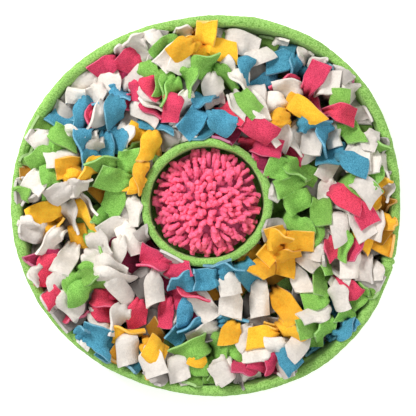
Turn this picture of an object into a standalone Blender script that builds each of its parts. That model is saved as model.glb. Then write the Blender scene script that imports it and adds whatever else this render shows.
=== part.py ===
"""Round snuffle mat: a padded base with a standing rim, a collar round a chenille pad, and bunches of fleece strips.

Metres, +Z up. The origin is the middle of the underside, +Y is the far side of the mat.
"""

import math
import random
from collections import namedtuple

import bmesh
import bpy
import numpy as np
from mathutils import Matrix, Vector

# Driving dimensions.
MAT_RADIUS = 0.2150
RIM_HEIGHT = 0.0600
RIM_THICKNESS = 0.0110
RIM_LEAN = 0.0035
BASE_THICKNESS = 0.0080
COLLAR_RADIUS = 0.0720
COLLAR_HEIGHT = 0.0480
COLLAR_THICKNESS = 0.0088
COLLAR_CENTRE = Vector((-0.0022, 0.0030))
PAD_RADIUS = 0.0525
PAD_TOP = 0.0475
PAD_EDGE = 0.0290
PAD_LUMP = 0.0017
PAD_RINGS = 6
PAD_SEGMENTS = 22
LOCKS = 30
LOCK_LENGTH = 0.0200
LOCK_ROOT = 0.0034
LOCK_TIP = 0.0024
LOCK_DROOP = math.radians(14)
STRIP_WIDTH = 0.0280
STRIP_THICKNESS = 0.0026
STRIP_REACH = 0.0400
STALK_SIDE = 0.0056
STALK_RADIUS = STALK_SIDE / math.sqrt(2)
GAP = 0.0003

# Faces that turn by less than this are joined after a union.
FLAT_WITHIN = math.radians(0.6)

# How far the soft rim strays from a circle: number of lobes, height of a lobe, direction of the first.
Lobes = namedtuple("Lobes", "count height direction")
RIM_LOBES = (
    Lobes(2, 0.0028, 4),
    Lobes(3, 0.0032, 56),
    Lobes(4, 0.0019, 47),
)
COLLAR_LOBES = (Lobes(2, 0.0010, 20),)

# Share of the lobes that the rim has at its foot; where a padded band's top roll starts, in thicknesses below its
# top; and how far a band bulges past its thickness.
FOOT_SHARE = 0.4
ROLL_SHARE = 0.55
BULGE = 1.04

RIM_STATIONS = 52
COLLAR_STATIONS = 36

# Colours as Blender's linear RGB.
COLOURS = {
    "rim_green": (0.30, 0.56, 0.14),
    "green": (0.24, 0.54, 0.09),
    "white": (0.78, 0.72, 0.68),
    "pink": (0.68, 0.05, 0.11),
    "blue": (0.08, 0.34, 0.50),
    "orange": (0.93, 0.36, 0.02),
    "noodle_pink": (0.85, 0.12, 0.25),
}

# Where each bunch is tied, in millimetres from the middle of the mat, and the strips that fan out of it.
# A strip is its colour and the direction that it points, in degrees from +X; the first ones lie lowest.
Bunch = namedtuple("Bunch", "x y strips")
W, G, P, B, O = "white", "green", "pink", "blue", "orange"
BUNCHES = (
    # Next to the collar.
    Bunch(-4, 107, ((B, 150), (B, 235), (B, 305))),
    Bunch(42, 88, ((W, 10), (P, 120), (P, -85), (P, -20))),
    Bunch(82, 66, ((W, 150), (W, 20), (W, 95), (P, 50))),
    Bunch(104, 30, ((G, 35), (G, 140), (G, 200), (G, 265))),
    Bunch(104, -16, ((G, 15), (G, 165), (G, -50), (G, 105))),
    Bunch(88, -52, ((O, 165), (O, 35), (O, 215), (O, -80))),
    Bunch(58, -82, ((O, 20), (B, 130), (W, -50), (W, -95))),
    Bunch(14, -96, ((B, 60), (B, 150), (W, -125), (W, -75))),
    Bunch(-30, -90, ((B, 60), (P, 180), (W, -70), (P, -45))),
    Bunch(-66, -66, ((P, 120), (P, 20), (W, 215), (W, -88))),
    Bunch(-96, -34, ((W, 150), (W, 225), (W, -20), (W, -75))),
    Bunch(-105, 6, ((W, -60), (G, 170), (G, 60), (G, 230))),
    Bunch(-92, 46, ((G, 30), (G, 100), (G, 190))),
    Bunch(-66, 78, ((B, 75), (O, 150), (O, -105))),
    Bunch(-34, 94, ((W, 50), (W, 150), (B, 215), (P, 82))),
    # Half-way out.
    Bunch(10, 136, ((G, 160), (W, 200), (W, -10), (W, -75))),
    Bunch(48, 132, ((W, 95), (G, 150), (W, -75), (G, -115), (W, 20))),
    Bunch(86, 104, ((W, 150), (W, -110), (O, 190), (O, 15), (O, 60))),
    Bunch(120, 74, ((W, 130), (W, 30), (B, 75), (W, -75), (B, -25))),
    Bunch(140, 26, ((W, 100), (W, 200), (W, -20), (P, -55))),
    Bunch(142, -22, ((W, 120), (W, 60), (G, -50), (W, 200), (P, -85))),
    Bunch(124, -66, ((W, 110), (G, -20), (W, 210), (G, -80))),
    Bunch(92, -104, ((W, -90), (W, 195), (W, 60), (O, 150), (O, -45))),
    Bunch(46, -128, ((W, -70), (W, 75), (O, 160), (O, -20))),
    Bunch(-2, -134, ((W, 60), (W, 150), (G, -50), (G, 230))),
    Bunch(-46, -126, ((W, -30), (W, 190), (B, -80), (P, 100), (B, 20))),
    Bunch(-88, -104, ((W, -40), (W, 60), (P, 190), (P, -110))),
    Bunch(-118, -70, ((G, 140), (W, 180), (W, 50), (W, -20))),
    Bunch(-138, -30, ((W, -10), (W, 240), (O, 100), (O, 200))),
    Bunch(-140, 14, ((W, 180), (O, 110), (W, -30), (O, 40), (W, -110))),
    Bunch(-138, 52, ((W, 150), (O, -60), (B, 80), (O, 190))),
    Bunch(-104, 86, ((W, -30), (P, 165), (W, 120), (B, -70), (B, 85))),
    Bunch(-72, 118, ((W, 10), (P, 170), (W, -55), (P, 60), (P, -30))),
    Bunch(-36, 130, ((W, -60), (G, 0), (G, 120), (G, 80))),
    # Along the rim.
    Bunch(-9, 175, ((W, 235), (W, -40), (O, 205), (O, -12), (O, 75))),
    Bunch(41, 177, ((G, -130), (W, -70), (W, 170), (W, 10))),
    Bunch(90, 155, ((W, 110), (W, 0), (B, 200), (B, -75), (B, 40))),
    Bunch(131, 124, ((W, 95), (W, 190), (W, -10), (P, -60), (P, 70))),
    Bunch(158, 84, ((W, 20), (W, 80), (G, -70), (P, 200), (G, 120))),
    Bunch(176, 38, ((W, 60), (W, 160), (O, -70), (G, -110), (G, 130))),
    Bunch(180, -12, ((W, 200), (W, 70), (W, -60), (O, 120), (O, -90))),
    Bunch(170, -62, ((P, 200), (W, 20), (W, 90), (W, -70), (P, 130))),
    Bunch(145, -108, ((W, 170), (W, 60), (P, 100), (B, -60), (G, 20))),
    Bunch(110, -143, ((B, -60), (W, 180), (G, 60), (G, -10), (B, -110))),
    Bunch(63, -170, ((W, -10), (W, 100), (P, 170), (B, 10), (P, 135))),
    Bunch(6, -179, ((W, -60), (W, 20), (G, 60), (G, 150), (W, -120))),
    Bunch(-49, -173, ((O, 20), (O, 110), (G, 60), (W, -150), (W, -25))),
    Bunch(-95, -152, ((O, 10), (B, 170), (W, 200), (B, 110), (W, 30))),
    Bunch(-134, -121, ((W, 190), (P, -60), (W, 120), (P, 160), (W, -10))),
    Bunch(-162, -80, ((W, -110), (G, -10), (P, -60), (W, 40), (P, 190))),
    Bunch(-177, -32, ((W, 250), (O, 70), (W, -50), (O, 10), (W, 150))),
    Bunch(-179, 19, ((W, 200), (G, -40), (W, 120), (G, 30), (O, -80))),
    Bunch(-168, 66, ((W, 140), (G, 200), (G, 0), (W, -60), (G, 95))),
    Bunch(-143, 111, ((W, 120), (W, 30), (B, 190), (B, -60), (B, 70))),
    Bunch(-107, 146, ((W, 160), (W, -80), (P, 200), (W, 60), (P, 120))),
    Bunch(-60, 170, ((G, -100), (W, 200), (W, 130), (W, -60), (W, 40))),
)

# How strips lie. A strip has sections at these shares of its reach, and the pile is felt at a finer spacing.
SECTIONS = np.array((0.0, 0.36, 0.70, 1.0))
ACROSS = np.linspace(-1, 1, 17)
ALONG = np.linspace(0, 1, 34)
RUN = np.clip(np.searchsorted(SECTIONS, ALONG) - 1, 0, len(SECTIONS) - 2)
RUN_SHARE = (ALONG - SECTIONS[RUN]) / np.diff(SECTIONS)[RUN]
LAY_GAP = 0.0011
PILE_CELL = 0.0015
PILE_EXTENT = 1.05
PILE_FLOOR = 0.0150
PILE_TOP = 0.0740
BLOCKED = 1.0
KEEP_OFF_STALK = 0.0060
KEEP_OFF_WALL = 0.0020
TURNS = ((0, 8, -8, 16, -16), (26, -26, 38, -38), (52, -52, 68, -68, 86, -86))
SHORTENINGS = (1.0, 0.88, 0.76, 0.64, 0.52)
CURL_SHARE = 0.6
LOW_ROUNDS = 2
SEED = 3

# What differs between a low strip and one on top: the height of its root, how far it humps up, and its roll.
Manner = namedtuple("Manner", "root hump droop rolls")
LOW = Manner((0.017, 0.024), (0.001, 0.005), (0.002, 0.010), (0, 0, 8, -8))
HIGH = Manner((0.026, 0.034), (0.004, 0.014), (0.002, 0.014), (0, 10, -10, 24, -24, 38, -38))


def wave(lobes, angle):
    """Distance that lobes stand out of their circle in a direction."""
    return sum(
        lobe.height * math.cos(lobe.count * (angle - math.radians(lobe.direction)))
        for lobe in lobes
    )


def rim_middle(angle, height):
    """Radius of the middle of the rim's padding, which leans out and grows more uneven towards its top."""
    rise = (height - BASE_THICKNESS) / (RIM_HEIGHT - BASE_THICKNESS)
    foot = MAT_RADIUS - RIM_THICKNESS / 2 - RIM_LEAN
    uneven = FOOT_SHARE + (1 - FOOT_SHARE) * rise
    return foot + RIM_LEAN * rise + wave(RIM_LOBES, angle) * uneven


def collar_middle(angle):
    """Radius of the middle of the collar's padding, about the collar's own centre."""
    return COLLAR_RADIUS - COLLAR_THICKNESS / 2 + wave(COLLAR_LOBES, angle)


def material(name):
    """A plain cloth finish."""
    found = bpy.data.materials.get(name)
    if found:
        return found
    made = bpy.data.materials.new(name)
    made.use_nodes = True
    shader = made.node_tree.nodes["Principled BSDF"]
    shader.inputs["Base Color"].default_value = (*COLOURS[name], 1)
    shader.inputs["Roughness"].default_value = 0.95
    shader.inputs["Metallic"].default_value = 0
    return made


def placed(name, bm, finishes, collection):
    """Makes an object of a bmesh, in the finishes that its faces number, and shades its round sides smooth."""
    bmesh.ops.recalc_face_normals(bm, faces=bm.faces)
    mesh = bpy.data.meshes.new(name)
    bm.to_mesh(mesh)
    bm.free()
    made = bpy.data.objects.new(name, mesh)
    for finish in finishes:
        mesh.materials.append(material(finish))
    mesh.shade_smooth()
    mesh.set_sharp_from_angle(angle=math.radians(50))
    collection.objects.link(made)
    return made


def turned(profile, stations):
    """A bmesh of a closed profile of (radius, height), or of one that ends on the axis, turned about Z."""
    bm = bmesh.new()
    points = [bm.verts.new((radius, 0, height)) for radius, height in profile]
    closed = profile[0][0] > 0
    ends = points + points[:1] if closed else points
    for first, second in zip(ends, ends[1:]):
        bm.edges.new((first, second))
    bmesh.ops.spin(
        bm,
        geom=bm.verts[:] + bm.edges[:],
        cent=(0, 0, 0),
        axis=(0, 0, 1),
        angle=math.tau,
        steps=stations,
        use_merge=True,
    )
    bmesh.ops.remove_doubles(bm, verts=bm.verts[:], dist=1e-6)
    return bm


def standing_band(height, thickness):
    """Section of a padded band that stands on its sewn edge, as (distance from its middle, height)."""
    half = thickness / 2
    roll = height - thickness * ROLL_SHARE
    shoulder = height - thickness * 0.14
    outer = (
        (half * 0.80, 0),
        (half * BULGE, height * 0.10),
        (half * 0.94, height * 0.50),
        (half * BULGE, roll),
        (half * 0.66, shoulder),
    )
    inner = [(-out, level) for out, level in reversed(outer)]
    return (*outer, (0, height), *inner)


def make_rim(collection):
    foot = BASE_THICKNESS + GAP
    section = standing_band(RIM_HEIGHT - foot, RIM_THICKNESS)
    bm = turned([(MAT_RADIUS + out, foot + height) for out, height in section], RIM_STATIONS)
    for point in bm.verts:
        angle = math.atan2(point.co.y, point.co.x)
        out = point.co.xy.length - MAT_RADIUS
        radius = rim_middle(angle, point.co.z) + out
        point.co.xy = radius * math.cos(angle), radius * math.sin(angle)
    return placed("rim_wall", bm, ["rim_green"], collection)


def make_base(collection):
    """A padded disc under everything, as wide as the rim's foot, with its edges rolled in."""
    section = (
        (0, 0),
        (0.965, 0),
        (0.992, 0.22),
        (1, 0.5),
        (0.992, 0.85),
        (0.975, 1),
        (0, 1),
    )
    bm = turned([(r, h * BASE_THICKNESS) for r, h in section], RIM_STATIONS)
    for point in bm.verts:
        share = point.co.xy.length
        if share < 1e-6:
            continue
        angle = math.atan2(point.co.y, point.co.x)
        foot = rim_middle(angle, 0) + RIM_THICKNESS * 0.36
        point.co.xy = share * foot * math.cos(angle), share * foot * math.sin(angle)
    return placed("base", bm, ["rim_green"], collection)


def make_collar(collection):
    section = standing_band(COLLAR_HEIGHT, COLLAR_THICKNESS)
    bm = turned([(COLLAR_RADIUS + out, height) for out, height in section], COLLAR_STATIONS)
    for point in bm.verts:
        angle = math.atan2(point.co.y, point.co.x)
        out = point.co.xy.length - COLLAR_RADIUS
        radius = collar_middle(angle) + out
        point.co.xy = radius * math.cos(angle), radius * math.sin(angle)
    bmesh.ops.translate(bm, vec=(*COLLAR_CENTRE, BASE_THICKNESS + GAP), verts=bm.verts)
    return placed("collar", bm, ["rim_green"], collection)


def joined(target, others, helpers):
    """Joins closed meshes into the target with Boolean unions, and removes them."""
    for other in others:
        helpers.objects.link(other)
        bpy.context.view_layer.update()
        union = target.modifiers.new("join", "BOOLEAN")
        union.operation = "UNION"
        union.solver = "EXACT"
        union.object = other
        with bpy.context.temp_override(object=target):
            bpy.ops.object.modifier_apply(modifier=union.name)
        bpy.data.objects.remove(other)
    bm = bmesh.new()
    bm.from_mesh(target.data)
    bmesh.ops.dissolve_limit(bm, angle_limit=FLAT_WITHIN, verts=bm.verts, edges=bm.edges)
    bmesh.ops.triangulate(bm, faces=bm.faces)
    bm.to_mesh(target.data)
    bm.free()


def loose_mesh(name, bm, finish):
    """An object of a bmesh, in no collection yet."""
    bmesh.ops.recalc_face_normals(bm, faces=bm.faces)
    bmesh.ops.triangulate(bm, faces=bm.faces)
    mesh = bpy.data.meshes.new(name)
    bm.to_mesh(mesh)
    bm.free()
    mesh.materials.append(material(finish))
    return bpy.data.objects.new(name, mesh)


def make_lock(angle, reach, height):
    """One finger of the pile, pointing out and a little down from the pad's middle."""
    bm = bmesh.new()
    bmesh.ops.create_cone(
        bm,
        cap_ends=True,
        segments=4,
        radius1=LOCK_ROOT,
        radius2=LOCK_TIP,
        depth=LOCK_LENGTH,
    )
    outward = Matrix.Rotation(math.radians(90) + LOCK_DROOP, 4, "Y")
    middle = Matrix.Translation((reach - LOCK_LENGTH / 2, 0, height))
    turn = Matrix.Rotation(angle, 4, "Z")
    bmesh.ops.transform(bm, matrix=turn @ middle @ outward, verts=bm.verts)
    return loose_mesh("lock", bm, "noodle_pink")


def make_pad(collection, helpers):
    """A lumpy dome of pile, with a row of locks hanging over its edge."""
    pick = random.Random(SEED)
    foot = BASE_THICKNESS + GAP
    profile = [(0, foot), (PAD_RADIUS * 0.9, foot), (PAD_RADIUS, PAD_EDGE * 0.7)]
    for ring in range(1, PAD_RINGS + 1):
        share = 1 - ring / PAD_RINGS
        drop = (PAD_TOP - PAD_EDGE) * share**2.4
        profile.append((PAD_RADIUS * share, PAD_TOP - drop))
    bm = turned(profile, PAD_SEGMENTS)
    for point in bm.verts:
        if point.co.z > PAD_EDGE * 0.6 and point.co.xy.length > 1e-4:
            point.co += Vector(pick.uniform(-1, 1) for _ in range(3)) * PAD_LUMP
    pad = placed("noodle_pad", bm, ["noodle_pink"], collection)
    locks = []
    for index in range(LOCKS):
        angle = math.tau * (index + pick.uniform(-0.2, 0.2)) / LOCKS
        height = PAD_EDGE + pick.uniform(-0.010, 0.001)
        reach = PAD_RADIUS + pick.uniform(0.0035, 0.0065)
        locks.append(make_lock(angle, reach, height))
    joined(pad, locks, helpers)
    pad.location = (*COLLAR_CENTRE, 0)
    return pad


# One section of a strip: its middle, the way its side points, its height, how it leans and half its width.
Section = namedtuple("Section", "x y side_x side_y height lean half")


class Pile:
    """The top of the fleece laid so far, on a square grid seen from above."""

    def __init__(self):
        half = MAT_RADIUS * PILE_EXTENT
        self.count = int(2 * half / PILE_CELL) + 1
        self.low = -half
        axis = self.low + PILE_CELL * np.arange(self.count)
        x, y = np.meshgrid(axis, axis, indexing="ij")
        self.height = np.full(x.shape, PILE_FLOOR)
        angle = np.arctan2(y, x)
        limit = np.vectorize(lambda a: rim_middle(a, RIM_HEIGHT * 0.9))(angle)
        limit = limit - RIM_THICKNESS * 0.52 - KEEP_OFF_WALL
        self.height[np.hypot(x, y) > limit] = BLOCKED
        from_collar = np.hypot(x - COLLAR_CENTRE.x, y - COLLAR_CENTRE.y)
        self.height[from_collar < COLLAR_RADIUS + 0.001 + KEEP_OFF_WALL] = BLOCKED
        self.stalk_at = np.full(x.shape, -1)
        for number, bunch in enumerate(BUNCHES):
            away = np.hypot(x - bunch.x / 1000, y - bunch.y / 1000)
            self.stalk_at[away < KEEP_OFF_STALK] = number
        self.done = np.zeros(len(BUNCHES) + 1, dtype=bool)
        self.done[-1] = True

    def cells(self, points):
        index = np.rint((points - self.low) / PILE_CELL).astype(int)
        return np.clip(index, 1, self.count - 2)

    def under(self, x, y, number):
        """Highest thing under each point. A stalk that has strips to come is passed at its side."""
        i, j = self.cells(x), self.cells(y)
        steps = (-1, 0, 1)
        top = np.max([self.height[i + di, j + dj] for di in steps for dj in steps], axis=0)
        stalk = self.stalk_at[i, j]
        top[~self.done[stalk] & (stalk != number)] = BLOCKED
        return top

    def lay(self, x, y, top):
        np.maximum.at(self.height, (self.cells(x), self.cells(y)), top)

    def cap(self, number, top):
        """Raises the pile to the top of a bunch's stalk."""
        stalk = self.stalk_at == number
        self.height[stalk] = np.maximum(self.height[stalk], top)


def half_width(share, width):
    """Half the width of a strip, which is gathered where it is tied and spreads out from there."""
    gathered = STALK_SIDE / width
    spread = min(1.0, share / SECTIONS[1])
    return width / 2 * (gathered + (1 - gathered) * spread)


def raised(heights, needed):
    """Lifts a strip's sections by as little as keeps the straight runs between them above what is needed."""
    heights = np.array(heights)
    nearest = np.abs(ALONG[:, None] - SECTIONS).argmin(axis=1)
    for _ in range(6):
        short = needed - np.interp(ALONG, SECTIONS, heights)
        if short.max() <= 0:
            break
        lift = np.zeros(len(SECTIONS))
        np.maximum.at(lift, nearest, short)
        heights += lift
    return heights + max(0.0, (needed - np.interp(ALONG, SECTIONS, heights)).max())


def over_face(left, right):
    """Values over a strip's face, whose runs are each two triangles, from those at its sections' corners."""
    left, right = np.asarray(left), np.asarray(right)
    l0, r0, l1, r1 = (v[k][:, None] for k in (RUN, RUN + 1) for v in (left, right))
    along, across = RUN_SHARE[:, None], (ACROSS + 1) / 2
    near = l0 + (r0 - l0) * across + (r1 - r0) * along
    far = l0 + (l1 - l0) * along + (r1 - l1) * across
    return np.where(across > along, near, far)


def strip_faces(x, y, side_x, side_y, half, lean):
    """Plans of a strip's underside and top, and how far each of them rises above the strip's middle line."""
    flat, rise = half * np.cos(lean), half * np.sin(lean)
    shift, lift = STRIP_THICKNESS * np.sin(lean), STRIP_THICKNESS * np.cos(lean)
    faces = []
    for share in (0, 1):
        aside_x, aside_y = x - side_x * shift * share, y - side_y * shift * share
        faces.append(
            (
                over_face(aside_x - side_x * flat, aside_x + side_x * flat),
                over_face(aside_y - side_y * flat, aside_y + side_y * flat),
                over_face(lift * share - rise, lift * share + rise),
            )
        )
    return faces


def try_strip(pile, number, heading, shorter, style):
    """Lays a strip as low as it goes in one direction. Gives its sections, and what it covers.

    A strip that is given less room than its length curls up instead.
    """
    bunch = BUNCHES[number]
    reach = style["reach"] * shorter
    curl = style["reach"] * (1 - shorter) * CURL_SHARE
    turn = heading + style["bend"] * SECTIONS
    runs = reach * np.diff(SECTIONS)
    run_turn = (turn[1:] + turn[:-1]) / 2
    x = bunch.x / 1000 + np.append(0, np.cumsum(np.cos(run_turn) * runs))
    y = bunch.y / 1000 + np.append(0, np.cumsum(np.sin(run_turn) * runs))
    plan = x, y, -np.sin(turn), np.cos(turn)
    half = np.array([half_width(share, style["width"]) for share in SECTIONS])
    lean = style["roll"] * np.minimum(1.0, SECTIONS / SECTIONS[1])
    below, above = strip_faces(*plan, half, lean)
    under = pile.under(*below[:2], number)
    if under.max() >= BLOCKED:
        return None
    for index in range(1, len(SECTIONS)):
        near = under[np.abs(ALONG - SECTIONS[index]) < 0.2]
        tilt = near[:, ACROSS > 0].max() - near[:, ACROSS < 0].max()
        lean[index] += np.clip(tilt / style["width"], -0.35, 0.35)
    below, above = strip_faces(*plan, half, lean)
    needed = np.full(len(ALONG), PILE_FLOOR)
    for plan_x, plan_y, rise in (below, above):
        under = pile.under(plan_x, plan_y, number)
        if under.max() >= BLOCKED:
            return None
        needed = np.maximum(needed, (under + LAY_GAP - rise).max(axis=1))
    arch = style["root"] + style["hump"] * np.sin(np.pi * np.minimum(1, SECTIONS * 1.1))
    heights = raised(arch + (curl - style["droop"]) * SECTIONS**2, needed)
    middle = over_face(heights, heights)
    if (middle + above[2]).max() > PILE_TOP:
        return None
    shape = [Section(*values) for values in zip(*plan, heights, lean, half)]
    return shape, [(plan_x, plan_y, middle + rise) for plan_x, plan_y, rise in (below, above)]


def strip_style(pick, manner):
    """What differs from strip to strip in a hand-tied mat."""
    return {
        "bend": math.radians(pick.uniform(-22, 22)),
        "width": STRIP_WIDTH * pick.uniform(0.88, 1.08),
        "roll": math.radians(pick.choice(manner.rolls)),
        "root": pick.uniform(*manner.root),
        "hump": pick.uniform(*manner.hump),
        "droop": pick.uniform(*manner.droop),
        "reach": STRIP_REACH * pick.uniform(0.90, 1.12),
    }


def first_fit(pile, number, heading, style):
    """Turns and shortens a strip by as little as gets it in."""
    for turns in TURNS:
        for shorter in SHORTENINGS:
            for aside in turns:
                turned_to = math.radians(heading + aside)
                found = try_strip(pile, number, turned_to, shorter, style)
                if found:
                    return found
    return None


def lay_strips():
    """Lays every bunch's strips, the low ones of all bunches first, and gives each bunch's list of them."""
    pick = random.Random(SEED)
    pile = Pile()
    laid = [[] for _ in BUNCHES]
    numbers = range(len(BUNCHES))
    order = [(number, turn) for turn in range(LOW_ROUNDS) for number in numbers]
    for number in pick.sample(numbers, len(numbers)):
        order += [(number, turn) for turn in range(LOW_ROUNDS, len(BUNCHES[number].strips))]
    for number, turn in order:
        colour, heading = BUNCHES[number].strips[turn]
        style = strip_style(pick, LOW if turn < LOW_ROUNDS else HIGH)
        found = first_fit(pile, number, heading, style)
        if found is None:
            style["roll"] *= 0.2
            found = first_fit(pile, number, heading, style)
        if found:
            shape, covers = found
            for cover in covers:
                pile.lay(*cover)
            pile.cap(number, shape[0].height + STRIP_THICKNESS)
            laid[number].append((colour, shape))
        if turn == len(BUNCHES[number].strips) - 1:
            pile.done[number] = True
    return laid


def stalk_ring(bm, bunch, height, facing):
    """Four corners round the stalk, with the first two on the side that faces a strip."""
    ring = []
    for corner in range(4):
        angle = facing - math.pi / 4 + corner * math.pi / 2
        x = bunch.x / 1000 + STALK_RADIUS * math.cos(angle)
        y = bunch.y / 1000 + STALK_RADIUS * math.sin(angle)
        ring.append(bm.verts.new((x, y, height)))
    return ring


def faced(bm, finish, *corners):
    """A face in one of its object's finishes."""
    bm.faces.new(corners).material_index = finish


def walls(bm, low, high, sides, finish):
    """Pairs of triangles between two rings, on the sides asked for."""
    for k in sides:
        after = (k + 1) % 4
        faced(bm, finish, low[k], low[after], high[after])
        faced(bm, finish, low[k], high[after], high[k])


def strip_on(bm, root, shape, finish):
    """Lofts a strip from its root on the stalk through its outer sections, and closes its cut end."""
    last = root
    for section in shape[1:]:
        tilt, lift = math.cos(section.lean), math.sin(section.lean)
        middle = Vector((section.x, section.y, section.height))
        side = Vector((section.side_x * tilt, section.side_y * tilt, lift))
        up = Vector((-section.side_x * lift, -section.side_y * lift, tilt))
        ring = []
        for across, rise in ((-1, 0), (1, 0), (1, 1), (-1, 1)):
            corner = middle + side * section.half * across + up * STRIP_THICKNESS * rise
            ring.append(bm.verts.new(corner))
        walls(bm, last, ring, (0, 1, 3), finish)
        faced(bm, finish, last[2], last[3], ring[2])
        faced(bm, finish, last[3], ring[3], ring[2])
        last = ring
    faced(bm, finish, *last)


def make_bunch(number, strips, collection):
    """A stalk of four sides that turns to face each of its strips, one above the other."""
    bunch = BUNCHES[number]
    finishes = sorted({colour for colour, _ in strips})
    bm = bmesh.new()
    facing = 0
    below = stalk_ring(bm, bunch, BASE_THICKNESS + GAP, facing)
    bm.faces.new(below[::-1])
    for colour, shape in strips:
        finish = finishes.index(colour)
        root = shape[0]
        toward = math.atan2(-root.side_x, root.side_y)
        quarters = round((toward - facing) / (math.pi / 2)) % 4
        facing = toward
        low = stalk_ring(bm, bunch, root.height, facing)
        high = stalk_ring(bm, bunch, root.height + STRIP_THICKNESS, facing)
        below = below[quarters:] + below[:quarters]
        walls(bm, below, low, range(4), finish)
        walls(bm, low, high, range(1, 4), finish)
        strip_on(bm, (low[0], low[1], high[1], high[0]), shape, finish)
        below = high
    faced(bm, finish, *below)
    bmesh.ops.triangulate(bm, faces=bm.faces)
    placed(f"bunch_{number + 1:02d}", bm, finishes, collection)


def make_bunches(collection):
    for number, strips in enumerate(lay_strips()):
        make_bunch(number, strips, collection)


def outline_centre():
    """Middle of the box round the rim, from the centre of the circle that the rim strays from."""
    height = RIM_HEIGHT - RIM_THICKNESS * ROLL_SHARE
    corners = []
    for station in range(RIM_STATIONS):
        angle = math.tau * station / RIM_STATIONS
        radius = rim_middle(angle, height) + RIM_THICKNESS / 2 * BULGE
        corners.append((radius * math.cos(angle), radius * math.sin(angle)))
    low, high = np.min(corners, axis=0), np.max(corners, axis=0)
    return Vector((*((low + high) / 2), 0))


def main():
    for old in list(bpy.data.objects):
        bpy.data.objects.remove(old)
    collection = bpy.data.collections.new("snuffle mat")
    helpers = bpy.data.collections.new("helpers")
    bpy.context.scene.collection.children.link(collection)
    bpy.context.scene.collection.children.link(helpers)
    make_base(collection)
    make_rim(collection)
    make_collar(collection)
    make_pad(collection, helpers)
    make_bunches(collection)
    for made in collection.objects:
        made.location -= outline_centre()


main()
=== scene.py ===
"""Looks of a round snuffle mat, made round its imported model.

Metres, +Z up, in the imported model's frame. The base, the rim, the collar, the chenille pad and each bunch of
fleece strips are pieces of their own, which replace their solids.
"""

import random
from collections import namedtuple
from functools import partial
from math import atan2, cos, degrees, hypot, pi, radians, sin, sqrt, tau
from types import SimpleNamespace

import bpy
import numpy as np
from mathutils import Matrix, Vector


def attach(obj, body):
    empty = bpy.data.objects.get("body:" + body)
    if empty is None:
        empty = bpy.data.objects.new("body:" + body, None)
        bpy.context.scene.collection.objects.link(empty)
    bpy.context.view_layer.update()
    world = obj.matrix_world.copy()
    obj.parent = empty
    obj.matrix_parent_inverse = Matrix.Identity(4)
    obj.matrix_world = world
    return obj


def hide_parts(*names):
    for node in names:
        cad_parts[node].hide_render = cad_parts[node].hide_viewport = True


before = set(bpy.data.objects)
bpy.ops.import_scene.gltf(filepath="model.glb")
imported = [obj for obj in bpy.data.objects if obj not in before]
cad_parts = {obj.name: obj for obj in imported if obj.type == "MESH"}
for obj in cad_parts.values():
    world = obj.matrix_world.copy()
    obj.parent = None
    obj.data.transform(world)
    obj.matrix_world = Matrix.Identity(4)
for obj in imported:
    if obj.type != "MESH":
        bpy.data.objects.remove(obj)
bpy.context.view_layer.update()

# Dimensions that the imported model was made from.
MAT_RADIUS = 0.2150
RIM_HEIGHT = 0.0600
RIM_THICKNESS = 0.0110
RIM_LEAN = 0.0035
BASE_THICKNESS = 0.0080
COLLAR_RADIUS = 0.0720
COLLAR_HEIGHT = 0.0480
COLLAR_THICKNESS = 0.0088
PAD_RADIUS = 0.0525
PAD_EDGE = 0.0290
STRIP_WIDTH = 0.0280
GAP = 0.0003
FOOT_SHARE = 0.4
ROLL_SHARE = 0.55
BULGE = 1.04
RIM_STATIONS = 52
Lobes = namedtuple("Lobes", "count height direction")
RIM_LOBES = (Lobes(2, 0.0028, 4), Lobes(3, 0.0032, 56), Lobes(4, 0.0019, 47))
COLLAR_LOBES = (Lobes(2, 0.0010, 20),)

BASE_TOP = BASE_THICKNESS + GAP
COLLAR_TOP = BASE_TOP + COLLAR_HEIGHT

COLOURS = {"W": "white", "G": "green", "P": "pink", "B": "blue", "O": "orange"}

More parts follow.
